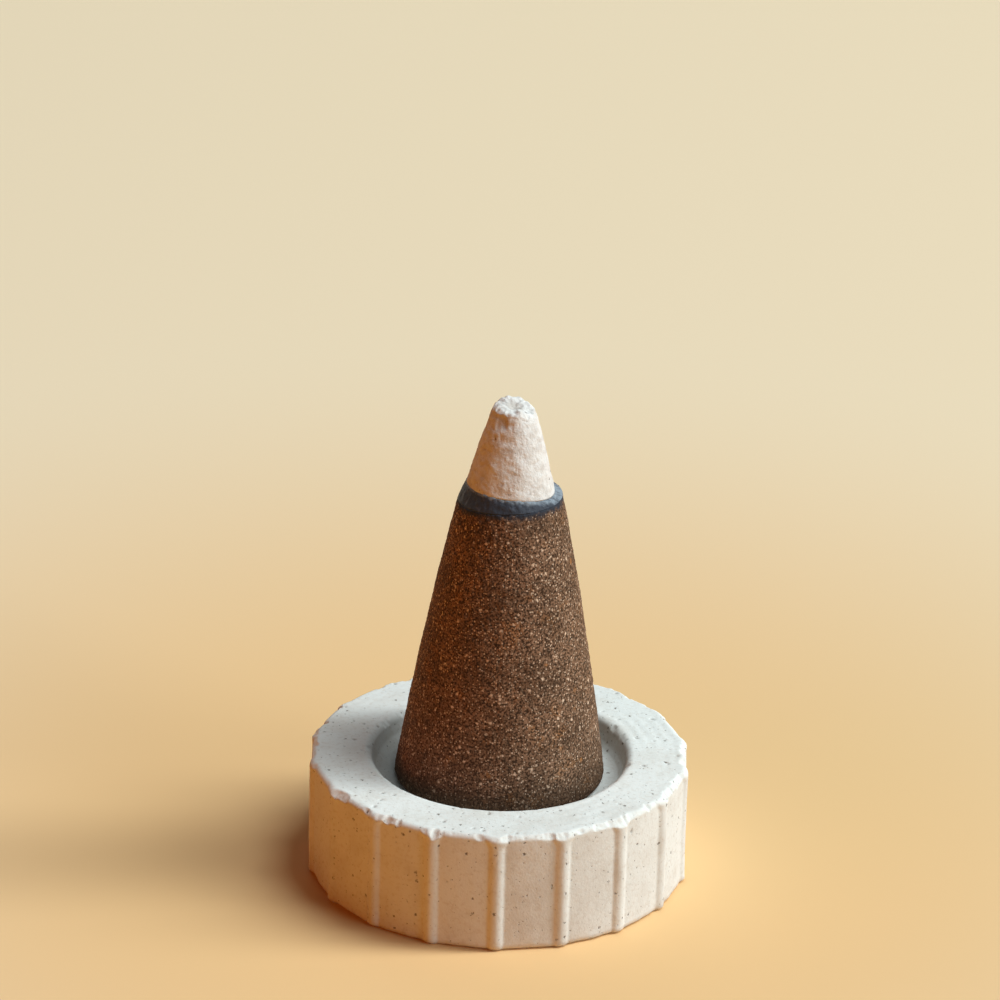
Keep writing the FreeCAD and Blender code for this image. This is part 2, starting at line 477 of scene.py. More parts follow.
# Air holes
PIT_SEED = 11
PIT_RADII = (0.07, 0.2, 0.09)  # least, most and commonest, in millimetres
PIT_DEPTH = 0.14 * MM
PIT_FLOOR = 0.7  # how far in from its edge a hole is at its deepest, in radii
# Painted shade: each hole is painted darker towards its middle
PIT_SHADE = 0.6  # how far in from its edge a hole is at its darkest, in radii
WALL_PITS = 0.25  # share of the holes that is in the wall

# Finish of the dish: a cloud's size, its detail and where patches begin and are full
MOTTLING = (2.4 * MM, 5.0, 0.42, 0.72)
SAND = (0.3 * MM, 3.0, 0.5, 0.7)
STAIN_STRENGTH = 0.4
STONE_GRAINS = ((0.28 * MM, 0.25, 0.6), (0.5 * MM, 0.18, 0.85))  # cell, share of the cells and darkness
STONE_GRAIN_RADII = (0.08, 0.26)
PIT_SHADE_DARKNESS = 0.6
STONE_TEXTURE = (0.16 * MM, 4.0)
STONE_BUMP = (0.03 * MM, 0.6)


def dish_outline(dish, stand_out, edge):
    """The dish's outline where the wall stands out by a length and its top edge is rounded by another."""
    wall = CREST_RADIUS - dish.rib_height + stand_out
    opening = dish.opening_radius
    floor_radius = opening - RECESS_DRAFT

    outline = Outline(0, 0)
    outline.line(wall - 3 * FOOT_CHAMFER, 0, steps=2)
    outline.line(wall - FOOT_CHAMFER, 0, steps=2)
    outline.line(wall, FOOT_CHAMFER, steps=3)
    outline.line(wall, RIM_TOP - 4 * dish.edge_round, steps=26)
    outline.line(wall, RIM_TOP - 2 * dish.edge_round, steps=7)
    outline.line(wall, RIM_TOP - edge, steps=5)
    outline.curve((wall, RIM_TOP), (wall - edge, RIM_TOP), steps=9)
    outline.line(opening + dish.lip_round, RIM_TOP, steps=28)
    outline.curve((opening, RIM_TOP), (opening, RIM_TOP - dish.lip_round), steps=8)
    outline.line(floor_radius, FLOOR_TOP + COVE, steps=5)
    outline.line(floor_radius - COVE, FLOOR_TOP, steps=4)
    outline.line(0, FLOOR_TOP, steps=4)
    return outline.points


def rib_share(dish, point):
    """How much of a rib's height stands at a point: 1 on its crest, 0 on the wall between two ribs."""
    pitch = math.tau / dish.rib_count
    turns = (math.atan2(point.y, point.x) - FRONT) / pitch
    index = round(turns)
    wall = CREST_RADIUS - dish.rib_height
    flare = 1 + RIB_FLARE * smooth(RIM_TOP - RIB_FLARE_HEIGHT, RIM_TOP, point.z)
    across = abs(turns - index) * pitch * wall / (dish.rib_width / 2 * flare)
    if across >= 1:
        return 0.0
    rod = (dish.rib_width**2 / 4 + dish.rib_height**2) / (dish.rib_height * dish.rib_width)
    hidden = math.sqrt(rod * rod - 1)
    rib_step, plane = RIB_WEAR_PATTERN
    wear = noise.noise(Vector((index * rib_step, point.z / RIB_WEAR_LENGTH, plane)))
    left = 1 - RIB_WEAR + RIB_WEAR * wear
    return left * (math.sqrt(rod * rod - across * across) - hidden) / (rod - hidden)


def panel_share(dish, point):
    """How far a point is from the nearest rib: 1 half way between two, 0 on a rib."""
    turns = (math.atan2(point.y, point.x) - FRONT) / (math.tau / dish.rib_count)
    offset = 2 * (abs(turns - round(turns)) - 0.5)
    return 1 - offset * offset if abs(offset) < 1 else 0.0


def scatter_pits(dish):
    """Air holes over the wall and the rim, as a search tree and the radius of each."""
    draw = random.Random(PIT_SEED)
    wall = CREST_RADIUS - dish.rib_height
    tree = kdtree.KDTree(dish.pit_count)
    radii = []
    for index in range(dish.pit_count):
        angle = draw.uniform(0, math.tau)
        if draw.random() < WALL_PITS:
            radius, height = wall, draw.uniform(RIM_TOP / 2, RIM_TOP)
        else:
            radius, height = draw.uniform(dish.opening_radius, wall), RIM_TOP
        tree.insert((radius * math.cos(angle), radius * math.sin(angle), height), index)
        radii.append(draw.triangular(*PIT_RADII) * MM)
    tree.balance()
    return tree, radii


def chipped(dish, point, pattern):
    """How far from the sharp corner a worn edge is cut off at a point: sharp steps along it, and ragged."""
    along = Vector((point.x, point.y, 0)).normalized() * CREST_RADIUS
    large = smooth(*CHIP_NOISE, lumps(along, CHIP_LENGTH, pattern))
    small = smooth(*SMALL_CHIP_NOISE, lumps(along, SMALL_CHIP_LENGTH, pattern + 1))
    rags = EDGE_RAGS * lumps(point, RAG_LENGTH, pattern + 2)
    return EDGE_WEAR + dish.chip_depth * (large + SMALL_CHIP_DEPTH * small) + rags


def roughen_dish(bm, dish):
    """Raises the ribs, wears the rim's edges and sinks the air holes."""
    out = bm.verts.layers.float["out"]
    up = bm.verts.layers.float["up"]
    painted_pit_shade_layer = bm.verts.layers.float.new("painted_pit_shade")
    pits, pit_radii = scatter_pits(dish)
    wall = CREST_RADIUS - dish.rib_height
    for vert in bm.verts:
        start = vert.co.copy()
        radius = math.hypot(start.x, start.y)
        if radius < MERGE_REACH:
            continue
        outward = Vector((start.x / radius, start.y / radius, 0))
        share = rib_share(dish, start)
        grow = share * vert[out]
        rise = share * vert[up]

        outer = smooth(wall - WALL_LUMPS_BEGIN, wall - WALL_LUMPS_FULL, radius)
        grow -= PANEL_FLATNESS * panel_share(dish, start) * outer
        grow += relief(start, WALL_LUMPS) * outer

        drop = RIM_TOP - start.z - rise
        if radius > (wall + dish.opening_radius) / 2:
            edge = wall + share * dish.rib_height / 2
            cut = max(0.0, chipped(dish, start, EDGE_PATTERN) - (edge - radius - grow) - drop)
            grow -= cut / 2
            rise -= cut / 2
        elif start.z > FLOOR_TOP + COVE:
            wear = LIP_WEAR * chipped(dish, start, LIP_PATTERN)
            cut = max(0.0, wear - (radius + grow - dish.opening_radius) - drop)
            grow += cut / 2
            rise -= cut / 2

        if start.z > TOP_SIDE and radius < wall:
            level = smooth(RIM_TOP - RIM_DEPTH, RIM_TOP, start.z)
            rise += relief(start, RIM_LUMPS) * level
            rise += relief(start, TOP_LUMPS)
            ring = math.sin(radius / RIPPLE * math.tau + relief(start, RIPPLE_WAVER))
            shown = smooth(*RIPPLE_NOISE, lumps(start, *RIPPLE_PATCHES))
            rise += RIPPLE_HEIGHT * ring * level * shown

        foot = 1 - smooth(0, FOOT_LUMPS_TOP, start.z)
        grow += relief(start, FOOT_LUMPS) * foot * outer

        _, index, distance = pits.find(start)
        hole = max(0.0, 1 - distance / pit_radii[index])
        sink = PIT_DEPTH * smooth(0.0, PIT_FLOOR, hole)
        # How much painted shade the air hole has here
        vert[painted_pit_shade_layer] = smooth(0.0, PIT_SHADE, hole)
        vert.co = start + outward * grow + Vector((0, 0, rise)) - vert.normal * sink
        vert.co.z = max(vert.co.z, 0.0)


def make_stone(dish):
    """Pale cast stone with mottling, dark grains and painted shade in its air holes."""
    stone = Finish("cast_stone", roughness=0.85, gloss=0.1)
    colour = dish.colour
    for patches in (MOTTLING, SAND):
        colour = stone.tint(colour, stone.patches(*patches), STAIN_STRENGTH, dish.stain)
    height = stone.cloud(*STONE_TEXTURE)
    for size, share, darkness in STONE_GRAINS:
        grains = stone.grains(size, share, *STONE_GRAIN_RADII)
        colour = stone.tint(colour, grains, darkness, dish.speck_and_pit_shade)
        height = stone.maths("SUBTRACT", height, grains)
    # Painted shade in the air holes
    stone.paint(stone.tint(colour, stone.attribute("painted_pit_shade"), PIT_SHADE_DARKNESS, dish.speck_and_pit_shade))
    stone.bump(height, *STONE_BUMP)
    return stone.material


class BURNER_OT_dish(bpy.types.Operator):
    """Makes the ribbed cast dish"""

    bl_idname = "burner.dish"
    bl_label = "Make the dish"

    def execute(self, context):
        dish = context.scene.burner_dish
        wall = dish_outline(dish, 0.0, dish.edge_round)
        crest = dish_outline(dish, dish.rib_height, RIB_ROUND)
        shifts = [(c[0] - w[0], c[1] - w[1]) for w, c in zip(wall, crest)]
        bm = spun(wall, dish.rib_count, DISH_STEPS, shifts)
        roughen_dish(bm, dish)
        place_piece(bm, "cast_dish", make_stone(dish), "dish", "dish")
        return {"FINISHED"}


# Incense cone and its char

CONE_SECTORS = 20
CONE_STEPS = 20  # per sector
LEAN = 0.0148  # how far the standing cone leans to +X, per unit of height
CONE_LUMPS = ((1.0, 0.22 * MM, 0.0), (0.7, 0.5 * MM, 3.0), (0.8, 2.0 * MM, 7.0))  # in grain heights
CONE_LUMPS_FULL = 0.02  # share of the cone's height under which the grains fade
CONE_TOP_FLAT = CHAR_HIGH.y - 0.3 * MM  # radius inside which nothing is raised

# Finish of the incense
INCENSE_TONES = (2.2 * MM, 4.0, 0.3, 0.7)
TONE_DARK = 0.8
TONE_LIGHT = 1.3
BARK_PATCHES = (1.5 * MM, 3.0, 0.56, 0.75)
BARK_STRENGTH = 0.5
POWDER = (0.15 * MM, 3.0, 0.64, 0.36)
POWDER_DARK = 0.2
# Cell, share of the cells and the setting that holds the colour
INCENSE_FLECKS = ((0.15 * MM, 0.36, "fleck"), (0.3 * MM, 0.1, "fleck"), (0.55 * MM, 0.03, "bark"))
FLECK_RADII = (0.18, 0.45)
FLECK_STRENGTH = 0.8
# Painted shade at the cone's foot, where it stands in the dish's recess
FOOT_SHADE_TOP = FLOOR_TOP + 3.2 * MM  # where the darker foot ends
FOOT_SHADE_FULL = FLOOR_TOP + 1.5 * MM
FOOT_SHADE_RAGS = (1.0 * MM, 0.8 * MM, 3.0)  # height, size and detail
FOOT_SHADE_STRENGTH = 0.65
FOOT_SHADE_DARKNESS = 0.15
SCORCH = 1.1 * MM  # height of the scorched fringe under the char line
SCORCH_RAGS = (SCORCH, 0.45 * MM, 4.0)
SCORCH_BEGIN = CHAR_LINE - 0.15 * SCORCH
SCORCH_FULL = CHAR_LINE + 0.45 * SCORCH
INCENSE_TEXTURE = (0.13 * MM, 3.0)
INCENSE_BUMP = (0.1 * MM, 0.5)

# Char
CHAR_PROUD = 0.06 * MM  # how far the char stands out past the foot of the ash
CHAR_ROUND_WIDTH = 0.1 * MM
CHAR_ROUND_HEIGHT = 0.08 * MM
CHAR_LUMPS = ((0.06 * MM, 0.3 * MM, 31.0), (0.06 * MM, 1.1 * MM, 33.0))
CHAR_LUMPS_FULL = 0.25  # share of the band's height under which the lumps fade
CHAR_SIDE = 0.95  # in radii of the ash: what lies further in is no side
CHAR_BLOOM = (0.45 * MM, 4.0, 0.5, 0.8)
BLOOM_LIGHT = 2.2
# Where the ash dust and its painted blue-grey sheen lie at the char's top
DUST_AND_SHEEN_RAGS = (0.5 * MM, 0.35 * MM, 4.0)
DUST_AND_SHEEN_BEGIN = BURN_FRONT + 0.05 * MM
DUST_AND_SHEEN_FULL = BURN_FRONT + 0.35 * MM
DUST_AND_SHEEN_STRENGTH = 0.6
CHAR_TEXTURE = (0.14 * MM, 4.0)
CHAR_BUMP = (0.05 * MM, 0.8)


def lean(vert):
    """Shifts a point of the standing cone, or of what it carries, as far as the cone leans there."""
    vert.co.x += LEAN * (vert.co.z - FLOOR_TOP)


def char_rise(x):
    """How far the char line lies over its height on the axis."""
    return x * (CHAR_LINE_SLOPE - x * CHAR_BEND)


def burn_rise(x):
    """How far the burn front lies over its height on the axis."""
    return x * (BURN_SLOPE - x * BURN_BEND)


def height_over(finish, slope, bend):
    """A point's height, less the rise of a slanted and bent line there."""
    axes = finish.axes()
    fall = finish.maths("MULTIPLY_ADD", axes["X"], bend, -slope)
    return finish.maths("MULTIPLY_ADD", axes["X"], fall, axes["Z"])


def roughen_cone(bm, cone):
    """Slants the cone's top to the char line and raises its pressed grains."""
    for vert in bm.verts:
        start = vert.co.copy()
        share = (start.z - FLOOR_TOP) / (CHAR_LINE - FLOOR_TOP)
        if math.hypot(start.x, start.y) > CONE_TOP_FLAT:
            grain = relief(start, CONE_LUMPS) * smooth(0.0, CONE_LUMPS_FULL, share)
            vert.co += vert.normal * cone.grain_height * grain
        vert.co.z += char_rise(start.x) * share
        lean(vert)


def burnt_share(finish):
    """How burnt the cone is at a height: a ragged rise from 0 under the char line to 1 over it."""
    height = height_over(finish, CHAR_LINE_SLOPE, CHAR_BEND)
    return finish.step(finish.ragged(height, *SCORCH_RAGS), SCORCH_BEGIN, SCORCH_FULL)


def make_incense(cone):
    """Brown pressed incense full of pale flecks, with painted shade at its foot and scorched towards the
    char line.
    """
    incense = Finish("incense", roughness=0.75, gloss=0.04)
    dark = scaled(cone.colour, TONE_DARK)
    light = scaled(cone.colour, TONE_LIGHT)
    colour = incense.blend(incense.patches(*INCENSE_TONES), dark, light)
    colour = incense.tint(colour, incense.patches(*BARK_PATCHES), BARK_STRENGTH, cone.bark)
    colour = incense.blend(incense.patches(*POWDER), colour, scaled(cone.colour, POWDER_DARK))
    for size, share, setting in INCENSE_FLECKS:
        flecks = incense.grains(size, share, *FLECK_RADII)
        colour = incense.tint(colour, flecks, FLECK_STRENGTH, getattr(cone, setting))
    # Painted shade: the incense is darker towards its foot, where it stands in the recess
    height = incense.ragged(incense.axes()["Z"], *FOOT_SHADE_RAGS)
    foot = incense.step(height, FOOT_SHADE_TOP, FOOT_SHADE_FULL)
    colour = incense.tint(colour, foot, FOOT_SHADE_STRENGTH, scaled(cone.colour, FOOT_SHADE_DARKNESS))
    incense.paint(incense.blend(burnt_share(incense), colour, cone.char_colour))
    incense.bump(incense.cloud(*INCENSE_TEXTURE), *INCENSE_BUMP)
    return incense.material


class BURNER_OT_cone(bpy.types.Operator):
    """Makes the unburnt incense cone"""

    bl_idname = "burner.cone"
    bl_label = "Make the cone"

    def execute(self, context):
        cone = context.scene.burner_cone
        base = CONE_HIGH.x
        foot = FLOOR_TOP + cone.foot_round
        outline = Outline(0, FLOOR_TOP)
        outline.line(base - cone.foot_round, FLOOR_TOP, steps=5)
        outline.curve((base, FLOOR_TOP), (base, foot), steps=5)
        outline.line(CHAR_HIGH.y, CHAR_LINE, steps=148, bulge=cone.bulge)
        outline.line(0, CHAR_LINE, steps=4)
        bm = spun(outline.points, CONE_SECTORS, CONE_STEPS)
        roughen_cone(bm, cone)
        place_piece(bm, "incense_cone", make_incense(cone), "cone", "cone_body")
        return {"FINISHED"}


def roughen_char(bm):
    """Slants the band between the char line and the burn front and roughens its side."""
    for vert in bm.verts:
        start = vert.co.copy()
        share = (start.z - CHAR_LINE) / (BURN_FRONT - CHAR_LINE)
        if math.hypot(start.x, start.y) / ASH_HIGH.y > CHAR_SIDE:
            vert.co += vert.normal * relief(start, CHAR_LUMPS) * smooth(0.0, CHAR_LUMPS_FULL, share)
        vert.co.z += char_rise(start.x) * (1 - share) + burn_rise(start.x) * share
        lean(vert)


def make_charcoal(cone):
    """Blue-black char with a faint grey bloom, and ash dust at its top tinted blue-grey as a painted sheen.
    """
    char = Finish("char", roughness=0.5, gloss=0.1)
    bloom = char.patches(*CHAR_BLOOM)
    colour = char.blend(bloom, cone.char_colour, scaled(cone.char_colour, BLOOM_LIGHT))
    # Ash dust with a painted blue-grey sheen, near the burn front
    height = char.ragged(height_over(char, BURN_SLOPE, BURN_BEND), *DUST_AND_SHEEN_RAGS)
    dust_and_sheen = char.step(height, DUST_AND_SHEEN_BEGIN, DUST_AND_SHEEN_FULL)
    char.paint(char.tint(colour, dust_and_sheen, DUST_AND_SHEEN_STRENGTH, cone.dust_and_sheen))
    char.bump(char.cloud(*CHAR_TEXTURE), *CHAR_BUMP)
    return char.material


class BURNER_OT_char(bpy.types.Operator):
    """Makes the charred band"""

    bl_idname = "burner.char"
    bl_label = "Make the char"

    def execute(self, context):
        cone = context.scene.burner_cone
        top = ASH_HIGH.y + CHAR_PROUD
        outline = Outline(0, CHAR_LINE)
        outline.line(CHAR_HIGH.y, CHAR_LINE, steps=4)
        outline.line(top, BURN_FRONT - CHAR_ROUND_HEIGHT, steps=10)
        outline.curve((top, BURN_FRONT), (top - CHAR_ROUND_WIDTH, BURN_FRONT), steps=3)
        outline.line(0, BURN_FRONT, steps=8)
        bm = spun(outline.points, CONE_SECTORS, CONE_STEPS)
        roughen_char(bm)
        place_piece(bm, "charred_band", make_charcoal(cone), "cone", "char_band")
        return {"FINISHED"}


# Coal and ash

ASH_STEPS = 15  # per sector
COAL_STEPS = 8
COAL_SIDE_STEPS = 12
COAL_ROUND_STEPS = 14
COAL_GAP = 0.2 * MM
ASH_TIP_ROUND = 0.35 * MM
CRATER_RADIUS = 0.8 * MM
CRATER_DEPTH = 0.25 * MM
CRATER_CORE = 0.3 * MM  # radius inside which the tip's breaks fade and its shade is darkest

# Crumbling of the ash
ASH_LUMPS = ((1.0, 1.0 * MM, 41.0), (0.6, 0.4 * MM, 43.0), (0.35, 0.2 * MM, 47.0))  # in lump heights
ASH_LUMPS_FULL = 0.04  # share of the cap's height under which nothing is raised in full
HEM_LUMPS = ((0.05 * MM, 0.6 * MM, 59.0),)
HEM_TOP = 0.12  # share of the cap's height up to which its hem is uneven
CRACKS = (0.9 * MM, 51.0)
CRACK_SQUEEZE = 2.2  # how much closer together the cracks are in height than across
CRACK_EDGE = 0.93  # where 1 is a crack's middle
CRACK_DEPTH = 0.03 * MM
BITE_ANGLE = math.radians(-118)  # about +Z: the tip is broken at the front left
BITE_OUT = 0.1 * MM  # how far outside the tip the bite's middle lies
BITE_DROP = 0.75 * MM
BITE_CORE = 0.1 * MM
BITE_REACH = 0.85 * MM
BITE_DEPTH = 0.2 * MM
BITE_RAGS = ((0.35 * MM, 0.5 * MM, 53.0),)
TIP_BEGIN = 0.84  # share of the cap's height over which the tip is broken
TIP_LUMPS = ((0.15 * MM, 0.75 * MM, 55.0), (0.12 * MM, 0.3 * MM, 57.0))
TIP_BACK = (-0.2 * MM, 1.0 * MM)  # where the tip's edge begins to rise to the back, and is highest
TIP_BACK_RISE = 0.16 * MM
TIP_RIGHT = (0.1 * MM, 1.3 * MM)  # where it begins to fall to the right, and is lowest
TIP_RIGHT_FALL = 0.34 * MM
# Painted shade in the ash: in a crack, as a share of the crater's, and in the bite
CRACK_SHADE = 0.25  # of the crater's
BITE_SHADE = 0.8

# Finish of the ash
ASH_PATCHES = (0.7 * MM, 5.0, 0.4, 0.75)
ASH_PATCH_STRENGTH = 0.45
HOLLOW_SHADE_STRENGTH = 0.7
ASH_SPECKS = (0.35 * MM, 0.07, 0.12, 0.3)
ASH_SPECK_COLOUR = (0.12, 0.09, 0.07)
ASH_SPECK_STRENGTH = 0.7
ASH_TEXTURE = (0.12 * MM, 5.0)
ASH_BUMP = (0.05 * MM, 0.8)

# Roughness and finish of the coal
COAL_LUMPS = ((0.05 * MM, 0.7 * MM, 61.0), (0.03 * MM, 0.3 * MM, 63.0))
COAL_SHRINK = 0.03 * MM
COAL_LUMPS_FULL = 0.4 * MM  # height over the burn front under which the lumps fade
COAL_VEINS = (0.7 * MM, 3.0)
VEIN_MIDDLE = 0.5
VEIN_WIDTH = 0.035
COAL_HEAT = (0.8 * MM, 4.0, 0.35, 0.7)
COAL_CRUST = (0.3 * MM, 4.0, 0.45, 0.7)
VEIN_COLOUR = (0.35, 0.07, 0.02)
COOL_GLOW = (0.04, 0.003, 0.0)
WARM_GLOW = (0.5, 0.06, 0.006)
GLOW_STRENGTH = 1.2
COAL_TEXTURE = (0.2 * MM, 4.0)
COAL_BUMP = (0.06 * MM, 0.8)


def add_coal(outline, ash, radius, top):
    """The coal's side, tapered as the ash is, and its round top, up to the axis."""
    foot = outline.points[-1][1]
    taper = math.atan2(ASH_HIGH.y - ash.tip_radius, ASH_HIGH.z - BURN_FRONT)
    round_radius = (radius - (top - foot) * math.tan(taper)) / (1 / math.cos(taper) - math.tan(taper))
    centre = top - round_radius
    side_top = centre + round_radius * math.sin(taper)
    outline.line(round_radius * math.cos(taper), side_top, COAL_SIDE_STEPS)
    for step in range(1, COAL_ROUND_STEPS + 1):
        turn = taper + step / COAL_ROUND_STEPS * (math.pi / 2 - taper)
        outline.line(round_radius * math.cos(turn), centre + round_radius * math.sin(turn))


def slant(vert, start, top):
    """Leans a piece's foot to the burn front, and its top not at all."""
    vert.co.z += burn_rise(start.x) * (1 - smooth(BURN_FRONT, top, start.z))
    lean(vert)


def crack_share(point):
    """1 in the middle of a hairline crack, 0 outside it."""
    squeezed = Vector((point.x, point.y, point.z * CRACK_SQUEEZE))
    return smooth(CRACK_EDGE, 1.0, 1 - abs(lumps(squeezed, *CRACKS)))


def roughen_ash(bm, ash):
    """Crumbles the ash: lumps and hairline cracks on its side, a bite out of a broken tip."""
    hollow_shade = bm.verts.layers.float.new("hollow_shade")
    bite_radius = ash.tip_radius + BITE_OUT
    bite = Vector((
        bite_radius * math.cos(BITE_ANGLE),
        bite_radius * math.sin(BITE_ANGLE),
        ASH_HIGH.z - BITE_DROP,
    ))
    for vert in bm.verts:
        start = vert.co.copy()
        radius = math.hypot(start.x, start.y)
        height = (start.z - BURN_FRONT) / (ASH_HIGH.z - BURN_FRONT)
        outside = smooth(0.0, ASH_LUMPS_FULL, height)
        hem = 1 - smooth(0.0, HEM_TOP, height)
        tip = smooth(TIP_BEGIN, 1.0, height)

        crack = crack_share(start)
        hollow = 1 - smooth(BITE_CORE, BITE_REACH, (start - bite).length + relief(start, BITE_RAGS))
        push = ash.lump_height * relief(start, ASH_LUMPS) + relief(start, HEM_LUMPS) * hem
        push -= CRACK_DEPTH * crack + BITE_DEPTH * hollow
        vert.co = start + vert.normal * push * outside

        broken = relief(start, TIP_LUMPS)
        broken += TIP_BACK_RISE * smooth(*TIP_BACK, start.y)
        broken -= TIP_RIGHT_FALL * smooth(*TIP_RIGHT, start.x)
        vert.co.z += broken * tip * smooth(0, CRATER_CORE, radius)

        crater = tip * (1 - smooth(CRATER_CORE, CRATER_RADIUS, radius))
        # Share of painted shade in the cracks, the bite and the crater
        vert[hollow_shade] = max(CRACK_SHADE * crack * outside, BITE_SHADE * hollow, crater)
        slant(vert, start, ASH_HIGH.z)


def make_ash_finish(ash):
    """Soft pale ash with browner patches, and painted shade in its cracks, bite and crater."""
    finish = Finish("ash", roughness=0.95, gloss=0.1)
    colour = finish.tint(ash.colour, finish.patches(*ASH_PATCHES), ASH_PATCH_STRENGTH, ash.shade)
    # Painted shade in the cracks, the bite and the crater
    colour = finish.tint(colour, finish.attribute("hollow_shade"), HOLLOW_SHADE_STRENGTH, ash.shade)
    finish.paint(finish.tint(colour, finish.grains(*ASH_SPECKS), ASH_SPECK_STRENGTH, ASH_SPECK_COLOUR))
    finish.bump(finish.cloud(*ASH_TEXTURE), *ASH_BUMP)
    return finish.material


class BURNER_OT_ash(bpy.types.Operator):
    """Makes the ash cap, hollow over the coal"""

    bl_idname = "burner.ash"
    bl_label = "Make the ash"

    def execute(self, context):
        ash = context.scene.burner_ash
        foot, top = ASH_HIGH.y, ASH_HIGH.z
        inner = foot - ash.wall
        outline = Outline(inner, BURN_FRONT)
        add_coal(outline, ash, inner, EMBER_HIGH.z + COAL_GAP)
        outline.points.reverse()
        outline.line(foot, BURN_FRONT, steps=5)
        outline.line(ash.tip_radius, top - ASH_TIP_ROUND, steps=60, bulge=ash.bulge)
        outline.curve((ash.tip_radius, top), (ash.tip_radius - ASH_TIP_ROUND, top), steps=6)
        outline.line(CRATER_RADIUS, top, steps=3)
        outline.line(0, top - CRATER_DEPTH, steps=7)
        bm = spun(outline.points, CONE_SECTORS, ASH_STEPS)
        roughen_ash(bm, ash)
        place_piece(bm, "ash_cap", make_ash_finish(ash), "ash", "ash_tip")
        return {"FINISHED"}


def roughen_coal(bm):
    """Shrinks the coal a little and makes it lumpy."""
    for vert in bm.verts:
        start = vert.co.copy()
        push = relief(start, COAL_LUMPS) - COAL_SHRINK
        vert.co = start + vert.normal * push * smooth(0, COAL_LUMPS_FULL, start.z - BURN_FRONT)
        slant(vert, start, EMBER_HIGH.z)


def make_glow(ash):
    """A dark crust with glowing cracks."""
    coal = Finish("ember", roughness=0.9, gloss=0.3)
    off_middle = coal.maths("SUBTRACT", coal.cloud(*COAL_VEINS), VEIN_MIDDLE)
    cracks = coal.step(coal.maths("ABSOLUTE", off_middle), VEIN_WIDTH, 0.0)
    colour = coal.blend(coal.patches(*COAL_CRUST), ash.coal, ash.shade)
    coal.paint(coal.blend(cracks, colour, VEIN_COLOUR))
    warm = coal.blend(coal.patches(*COAL_HEAT), COOL_GLOW, WARM_GLOW)
    coal.feed(coal.shader.inputs["Emission Color"], coal.blend(cracks, warm, ash.glow))
    coal.shader.inputs["Emission Strength"].default_value = GLOW_STRENGTH
    coal.bump(coal.cloud(*COAL_TEXTURE), *COAL_BUMP)
    return coal.material


class BURNER_OT_coal(bpy.types.Operator):
    """Makes the glowing coal under the ash"""

    bl_idname = "burner.coal"
    bl_label = "Make the coal"

    def execute(self, context):
        ash = context.scene.burner_ash
        radius = ASH_HIGH.y - ash.wall - COAL_GAP
        outline = Outline(0, BURN_FRONT)
        outline.line(radius, BURN_FRONT, steps=6)
        add_coal(outline, ash, radius, EMBER_HIGH.z)
        bm = spun(outline.points, CONE_SECTORS, COAL_STEPS)
        roughen_coal(bm)
        place_piece(bm, "glowing_coal", make_glow(ash), "cone", "ember")
        return {"FINISHED"}


# Stage

CAMERA_PITCH = math.radians(23.93)
CAMERA_ROLL = math.radians(1.40)
RIM_EDGE_DROP = 0.05 * MM  # from the rim's top to its worn edge
RIM_CENTRE = Vector((0, 0, RIM_TOP - RIM_EDGE_DROP))
# The rim's centre from the camera, to the right, up and forward, in the camera's own axes
RIM_FROM_CAMERA = Vector((-0.04, -17.98, 377.5)) * MM
SENSOR = 36.0  # millimetres
NEAR_CLIP = 0.01
FLOOR_HALF = 3.0
FLOOR_NEAR = 0.02  # from the origin to where the floor begins to turn paler
FLOOR_FAR = 0.1  # and to where it is palest
KEY_PLACE = Vector((1.64, 0.06, 1.9))
KEY_WIDTH = 0.52
KEY_HEIGHT = 3.2
KEY_TINT = (0.92, 0.99, 1.0)
SIDE_PLACE = Vector((0.66, -0.4, 0.34))
SIDE_SIZE = 0.4
BACK_PLACE = Vector((-0.08, 0.4, 0.42))
BACK_SIZE = 0.3
BACK_TINT = (0.9, 0.97, 1.0)
FILL_PLACE = Vector((-0.22, -0.16, 0.04))
FILL_SIZE = 0.2
FILL_TINT = (1.0, 0.22, 0.01)
WORLD_TINT = (0.9, 0.95, 1.0)
BACKDROP = (0.86, 0.80, 0.70)


def seen_share(tree):
    """1 where the stage is seen, straight or in gloss or glass, and 0 where it only lights the part."""
    path = tree.nodes.new("ShaderNodeLightPath")
    share = path.outputs["Is Camera Ray"]
    for name in ("Is Glossy Ray", "Is Transmission Ray"):
        either = tree.nodes.new("ShaderNodeMath")
        either.operation = "MAXIMUM"
        tree.links.new(share, either.inputs[0])
        tree.links.new(path.outputs[name], either.inputs[1])
        share = either.outputs["Value"]
    return share


def make_floor(stage):
    """A plain matte floor that takes the part's shadow and throws warm light back onto the part."""
    finish = Finish("floor", roughness=0.9, gloss=0.0)
    reach = finish.node("ShaderNodeVectorMath", {"operation": "LENGTH"}, {0: finish.place}).outputs["Value"]
    colour = finish.blend(finish.step(reach, FLOOR_NEAR, FLOOR_FAR), stage.floor_colour, stage.floor_far)
    finish.paint(finish.blend(seen_share(finish.tree), stage.floor_bounce, colour))
    bm = bmesh.new()
    bmesh.ops.create_grid(bm, x_segments=1, y_segments=1, size=FLOOR_HALF)
    mesh = bpy.data.meshes.new("floor")
    bm.to_mesh(mesh)
    bm.free()
    mesh.materials.append(finish.material)
    floor = bpy.data.objects.new("floor", mesh)
    bpy.context.scene.collection.objects.link(floor)


